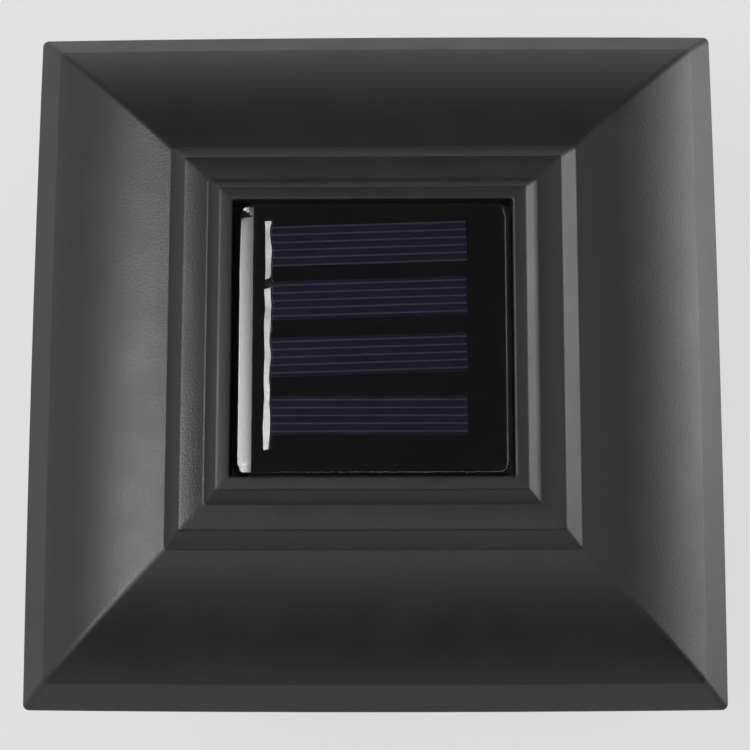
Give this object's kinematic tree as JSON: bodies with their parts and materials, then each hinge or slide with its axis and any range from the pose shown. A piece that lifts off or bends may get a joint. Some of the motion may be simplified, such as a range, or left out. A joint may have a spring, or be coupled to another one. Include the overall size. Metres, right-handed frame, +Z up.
{
  "type": "post cap light",
  "caption": "Square stepped cap with a solar panel on top, frosted side windows and a collar that fits over a square deck post; the roof lifts off for the battery.",
  "frame": {"origin": "on the ground plane under the middle of the collar's lower edge", "axes": "+Z up along the post, +X to the right and -Y to the front of the picture's view"},
  "size_m": [0.16, 0.16, 0.0889],
  "materials": {
    "roof_plastic": "satin black, fine moulded grain",
    "base_plastic": "satin black, fine moulded grain",
    "white_plastic": "smooth white",
    "housing_plastic": "pale grey moulding",
    "frosted_pane": "frosted",
    "pad_rubber": "matt",
    "sealant": "cured silicone",
    "panel_board": "black solder mask",
    "solar_cell": "dark blue silicon under a coating",
    "panel_resin": "clear cast resin",
    "zinc_steel": "zinc plated",
    "board_green": "green solder mask",
    "board_parts": "moulded packages and sleeves",
    "led_lens": "clear epoxy",
    "cell_sleeve": "shrink sleeve",
    "lead_red": "insulation",
    "lead_black": "insulation"
  },
  "bodies": {
    "base": {"post_base": "base_plastic", "grip_pads": "pad_rubber", "window_frame": "base_plastic", "pane_front": "frosted_pane", "pane_back": "frosted_pane", "pane_left": "frosted_pane", "pane_right": "frosted_pane", "frame_screws": "zinc_steel"},
    "head": {"roof_shell": "roof_plastic", "panel_sealant": "sealant", "panel_board": "panel_board", "solar_cells": "solar_cell", "panel_resin": "panel_resin", "light_housing": "housing_plastic", "housing_screws": "zinc_steel", "reflector_plate": "white_plastic", "circuit_board": "board_green", "board_components": "board_parts", "board_screws": "zinc_steel", "led_right": "led_lens", "led_back": "led_lens", "led_left": "led_lens", "led_front": "led_lens", "battery_cell": "cell_sleeve", "contact_negative": "zinc_steel", "contact_positive": "zinc_steel", "panel_lead_red": "lead_red", "panel_lead_black": "lead_black", "switch_body": "board_parts", "switch_leads": "lead_black", "door_hinge_pin": "zinc_steel"},
    "battery_door": {"battery_door": "housing_plastic"},
    "switch_knob": {"switch_knob": "base_plastic"}
  },
  "joints": [
    {"name": "roof_lift", "type": "slide", "parent": "base", "child": "head", "axis": [0, 0, 1], "range_m": [0, 0.08]},
    {"name": "battery_door_hinge", "type": "hinge", "parent": "head", "child": "battery_door", "pos_m": [0, -0.013, 0.048], "axis": [1, 0, 0], "range_deg": [-105, 0]},
    {"name": "switch_slide", "type": "slide", "parent": "head", "child": "switch_knob", "axis": [1, 0, 0], "range_m": [0, 0.003]}
  ]
}
